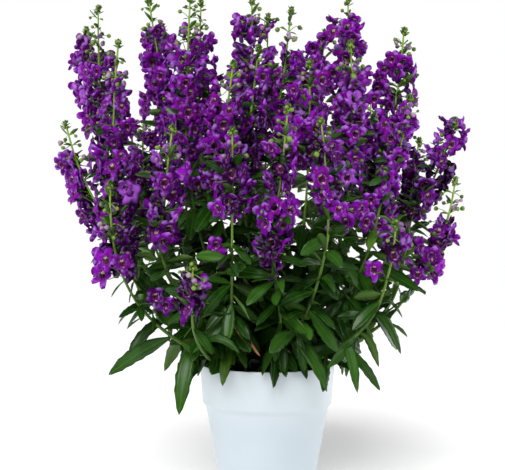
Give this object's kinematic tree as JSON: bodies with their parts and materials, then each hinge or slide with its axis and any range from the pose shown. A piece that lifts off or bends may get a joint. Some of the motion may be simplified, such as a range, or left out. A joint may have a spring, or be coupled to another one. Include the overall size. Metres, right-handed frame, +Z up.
{
  "type": "potted angelonia",
  "caption": "Bushy potted angelonia: upright spikes of small purple flowers over narrow toothed leaves, in a plain white pot.",
  "frame": {"origin": "centre of the pot's flat underside, on the surface that it stands on", "axes": "+Z up the pot's axis, -Y towards the viewer of the picture, +X to the viewer's right"},
  "size_m": [0.505, 0.3894, 0.6021],
  "materials": {
    "pot": "satin, smooth moulded, faintly bluish white",
    "soil": "matte, damp crumbly potting compost",
    "foliage": "satin leaf, dark green with a paler rib, yellow-green stems",
    "petals": "velvety deep violet petals"
  },
  "bodies": {
    "root": {"pot": "pot", "soil": "soil", "leafy_stem_1": "foliage", "leafy_stem_2": "foliage", "leafy_stem_3": "foliage", "leafy_stem_4": "foliage", "leafy_stem_5": "foliage", "leafy_stem_6": "foliage", "leafy_stem_7": "foliage", "leafy_stem_8": "foliage", "leafy_stem_9": "foliage", "leafy_stem_10": "foliage", "leafy_stem_11": "foliage", "leafy_stem_12": "foliage", "leafy_stem_13": "foliage", "leafy_stem_14": "foliage", "leafy_stem_15": "foliage", "leafy_stem_16": "foliage", "leafy_stem_17": "foliage", "leafy_stem_18": "foliage", "flower_spike_1": "petals", "flower_spike_2": "petals", "flower_spike_3": "petals", "flower_spike_4": "petals", "flower_spike_5": "petals", "flower_spike_6": "petals", "flower_spike_7": "petals", "flower_spike_8": "petals", "flower_spike_9": "petals", "flower_spike_10": "petals", "flower_spike_11": "petals", "flower_spike_12": "petals", "flower_spike_13": "petals", "flower_spike_14": "petals", "flower_spike_15": "petals", "flower_spike_16": "petals", "flower_spike_17": "petals", "flower_spike_18": "petals", "flower_spike_19": "petals", "flower_spike_20": "petals", "flower_spike_21": "petals", "flower_spike_22": "petals", "flower_spike_23": "petals", "flower_spike_24": "petals", "flower_spike_25": "petals", "flower_spike_26": "petals", "flower_spike_27": "petals", "flower_spike_28": "petals", "flower_spike_29": "petals", "flower_spike_30": "petals", "flower_spike_31": "petals", "flower_spike_32": "petals", "flower_spike_33": "petals", "flower_spike_34": "petals"}
  },
  "joints": []
}
